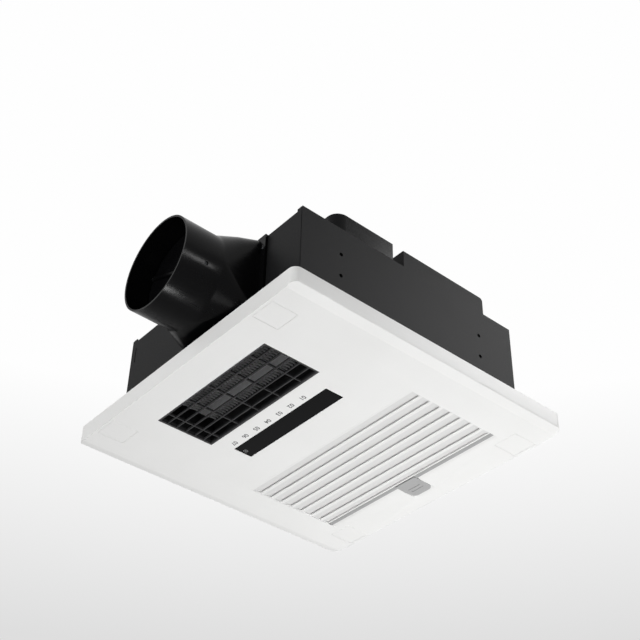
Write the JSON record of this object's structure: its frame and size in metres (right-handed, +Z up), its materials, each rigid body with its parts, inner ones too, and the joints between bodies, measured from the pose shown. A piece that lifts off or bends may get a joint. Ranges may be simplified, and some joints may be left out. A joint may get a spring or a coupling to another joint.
{
  "type": "ceiling bathroom heater",
  "caption": "Ceiling bathroom heater: white panel with louvred intake and warm air outlet, black steel housing and a side duct adapter with damper.",
  "frame": {"origin": "centre of the panel on the ceiling plane, level with the housing flange's upper face", "axes": "+Z up into the ceiling, the duct leaves towards -X, the filter slides out towards +X"},
  "size_m": [0.396, 0.34, 0.15],
  "materials": {
    "panel_white": "satin moulded ABS",
    "guard_black": "satin heat resistant nylon",
    "window_black": "polished acrylic",
    "filter_grey": "moulded polypropylene",
    "net_grey": "woven nylon net",
    "housing_black": "satin powder coat",
    "duct_black": "gloss moulded ABS",
    "steel": "zinc plated",
    "aluminium": "mill finish",
    "circuit_green": "solder resist",
    "inner_black": "moulded polypropylene",
    "motor_steel": "enamelled can"
  },
  "bodies": {
    "heater": {"front_panel": "panel_white", "corner_covers": "panel_white", "intake_louvre": "panel_white", "panel_screws": "steel", "outlet_guard": "guard_black", "outlet_sleeve": "guard_black", "heater_frame": "guard_black", "heater_bars": "aluminium", "heater_fins": "aluminium", "thermal_cutout": "steel", "display_window": "window_black", "display_board": "circuit_green", "filter_guide": "panel_white", "housing_shell": "housing_black", "top_plate": "housing_black", "wall_rivets": "housing_black", "wiring_box": "inner_black", "cable_gland": "inner_black", "terminal_block": "panel_white", "control_box": "housing_black", "control_board": "circuit_green", "duct_adapter": "duct_black", "adapter_screws": "steel", "air_guide": "inner_black", "changeover_motor": "motor_steel", "swing_motor": "motor_steel", "fan_scroll": "inner_black", "inlet_ring": "inner_black", "fan_motor": "motor_steel", "motor_bracket": "steel", "motor_screws": "steel"},
    "fan": {"fan_wheel": "inner_black", "fan_shaft": "steel"},
    "damper": {"damper_flap": "duct_black", "damper_axle": "steel"},
    "changeover": {"changeover_flap": "inner_black", "changeover_axle": "steel"},
    "filter": {"filter_frame": "filter_grey", "filter_net": "net_grey"},
    "link": {"vane_link": "guard_black"},
    "vane_1": {"swing_vane_1": "guard_black"},
    "vane_2": {"swing_vane_2": "guard_black"},
    "vane_3": {"swing_vane_3": "guard_black"},
    "vane_4": {"swing_vane_4": "guard_black"},
    "vane_5": {"swing_vane_5": "guard_black"}
  },
  "joints": [
    {"name": "fan_spin", "type": "hinge", "parent": "heater", "child": "fan", "pos_m": [0.058, 0, 0.07], "axis": [0, 0, 1], "continuous": true},
    {"name": "duct_damper", "type": "hinge", "parent": "heater", "child": "damper", "pos_m": [-0.2005, -0.03475, 0.06017], "axis": [0, 0.9239, 0.3827], "range_deg": [0, 80]},
    {"name": "changeover_turn", "type": "hinge", "parent": "heater", "child": "changeover", "pos_m": [-0.135, -0.0336, 0.0336], "axis": [0, 1, 0], "range_deg": [0, 80]},
    {"name": "filter_slide", "type": "slide", "parent": "heater", "child": "filter", "axis": [0.9397, 0, -0.342], "range_m": [0, 0.112]},
    {"name": "vane_swing", "type": "hinge", "parent": "heater", "child": "vane_1", "pos_m": [-0.12407, 0, -0.004], "axis": [0, 1, 0], "range_deg": [-85, 10]},
    {"name": "vane_2_swing", "type": "hinge", "parent": "heater", "child": "vane_2", "pos_m": [-0.11323, 0, -0.004], "axis": [0, 1, 0], "range_deg": [-85, 10]},
    {"name": "vane_3_swing", "type": "hinge", "parent": "heater", "child": "vane_3", "pos_m": [-0.1024, 0, -0.004], "axis": [0, 1, 0], "range_deg": [-85, 10]},
    {"name": "vane_4_swing", "type": "hinge", "parent": "heater", "child": "vane_4", "pos_m": [-0.09157, 0, -0.004], "axis": [0, 1, 0], "range_deg": [-85, 10]},
    {"name": "vane_5_swing", "type": "hinge", "parent": "heater", "child": "vane_5", "pos_m": [-0.08073, 0, -0.004], "axis": [0, 1, 0], "range_deg": [-85, 10]},
    {"name": "link_turn", "type": "hinge", "parent": "vane_1", "child": "link", "pos_m": [-0.12407, 0.0854, 0.001], "axis": [0, 1, 0], "range_deg": [-10, 85]}
  ],
  "couplings": [
    {"joint": "vane_2_swing", "follows": "vane_swing", "ratio": 1},
    {"joint": "vane_3_swing", "follows": "vane_swing", "ratio": 1},
    {"joint": "vane_4_swing", "follows": "vane_swing", "ratio": 1},
    {"joint": "vane_5_swing", "follows": "vane_swing", "ratio": 1},
    {"joint": "link_turn", "follows": "vane_swing", "ratio": -1}
  ]
}
